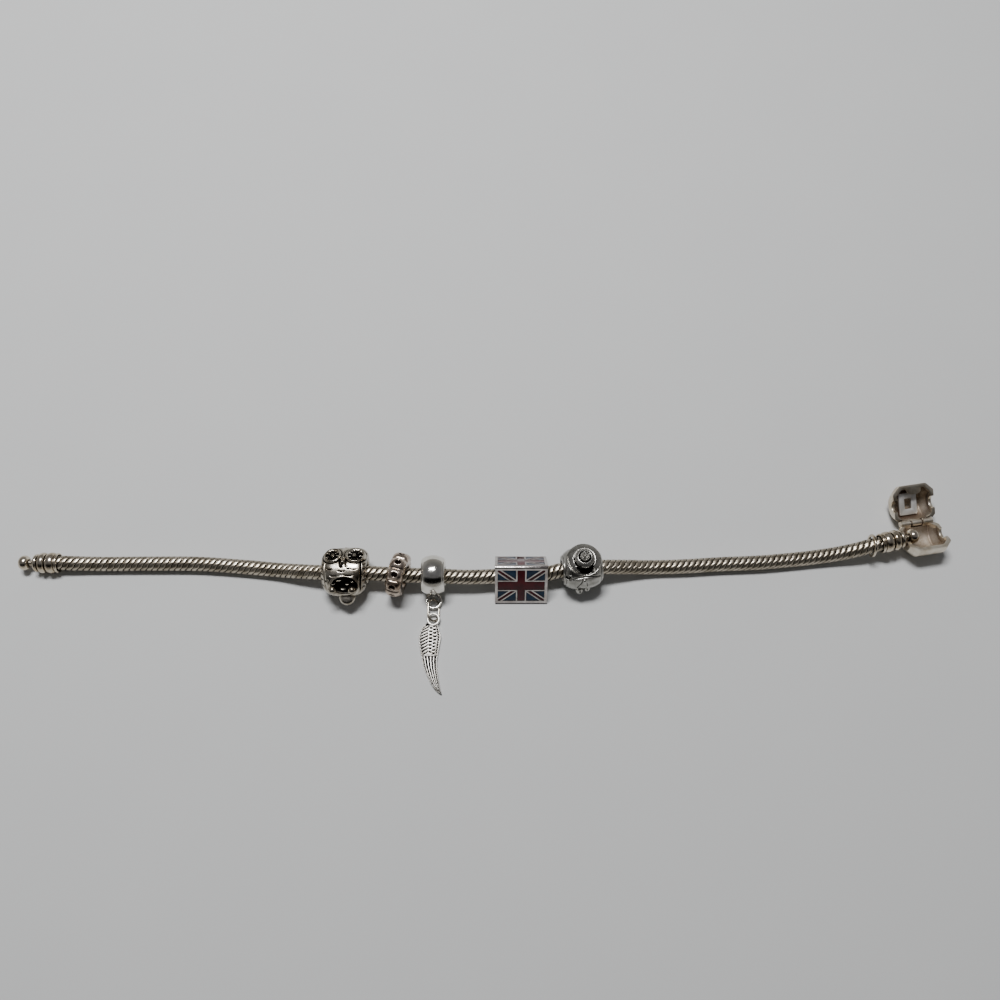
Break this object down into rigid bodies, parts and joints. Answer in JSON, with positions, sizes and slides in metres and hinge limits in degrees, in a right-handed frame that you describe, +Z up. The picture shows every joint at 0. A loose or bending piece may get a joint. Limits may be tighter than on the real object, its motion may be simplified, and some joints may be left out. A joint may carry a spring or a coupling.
{
  "type": "charm bracelet",
  "caption": "Silver snake chain bracelet lying open, with cast and enamelled beads, a wing pendant and a hinged barrel clasp that shuts over the chain's ball end.",
  "frame": {"origin": "bottom centre of the bounding box, on the surface the bracelet lies on", "axes": "+X along the chain from the ball end to the clasp, +Y away from the wing pendant, +Z up"},
  "size_m": [0.1976, 0.0446, 0.0099],
  "materials": {
    "silver": "worn satin silver",
    "aged_silver": "oxidised silver, dark in the recesses",
    "bright_silver": "polished silver",
    "red_enamel": "glossy deep red enamel",
    "blue_enamel": "glossy dark blue enamel"
  },
  "bodies": {
    "bracelet": {"chain": "aged_silver", "ball_end": "silver", "clasp_end_cap": "silver", "stop_ring": "silver", "clasp_base": "silver", "hinge_pin": "silver", "owl_bead": "aged_silver", "spacer_bead": "aged_silver", "hanger_bead": "bright_silver", "jump_ring": "bright_silver", "link_ring": "aged_silver", "wing_pendant": "bright_silver", "flag_bead": "silver", "figure_bead": "aged_silver", "enamel_near_cross": "red_enamel", "enamel_near_strip_ne": "red_enamel", "enamel_near_field_top_ne": "blue_enamel", "enamel_near_field_side_ne": "blue_enamel", "enamel_near_strip_nw": "red_enamel", "enamel_near_field_top_nw": "blue_enamel", "enamel_near_field_side_nw": "blue_enamel", "enamel_near_strip_sw": "red_enamel", "enamel_near_field_top_sw": "blue_enamel", "enamel_near_field_side_sw": "blue_enamel", "enamel_near_strip_se": "red_enamel", "enamel_near_field_top_se": "blue_enamel", "enamel_near_field_side_se": "blue_enamel", "enamel_far_cross": "red_enamel", "enamel_far_strip_ne": "red_enamel", "enamel_far_field_top_ne": "blue_enamel", "enamel_far_field_side_ne": "blue_enamel", "enamel_far_strip_nw": "red_enamel", "enamel_far_field_top_nw": "blue_enamel", "enamel_far_field_side_nw": "blue_enamel", "enamel_far_strip_sw": "red_enamel", "enamel_far_field_top_sw": "blue_enamel", "enamel_far_field_side_sw": "blue_enamel", "enamel_far_strip_se": "red_enamel", "enamel_far_field_top_se": "blue_enamel", "enamel_far_field_side_se": "blue_enamel", "enamel_under_cross": "red_enamel", "enamel_under_strip_ne": "red_enamel", "enamel_under_field_top_ne": "blue_enamel", "enamel_under_field_side_ne": "blue_enamel", "enamel_under_strip_nw": "red_enamel", "enamel_under_field_top_nw": "blue_enamel", "enamel_under_field_side_nw": "blue_enamel", "enamel_under_strip_sw": "red_enamel", "enamel_under_field_top_sw": "blue_enamel", "enamel_under_field_side_sw": "blue_enamel", "enamel_under_strip_se": "red_enamel", "enamel_under_field_top_se": "blue_enamel", "enamel_under_field_side_se": "blue_enamel"},
    "lid": {"clasp_lid": "silver", "clasp_plate": "bright_silver"}
  },
  "joints": [
    {"name": "clasp_hinge", "type": "hinge", "parent": "bracelet", "child": "lid", "pos_m": [0.09336, 0.01419, 0.00242], "axis": [0.9877, 0.1564, 0], "range_deg": [0, 123.5]}
  ]
}
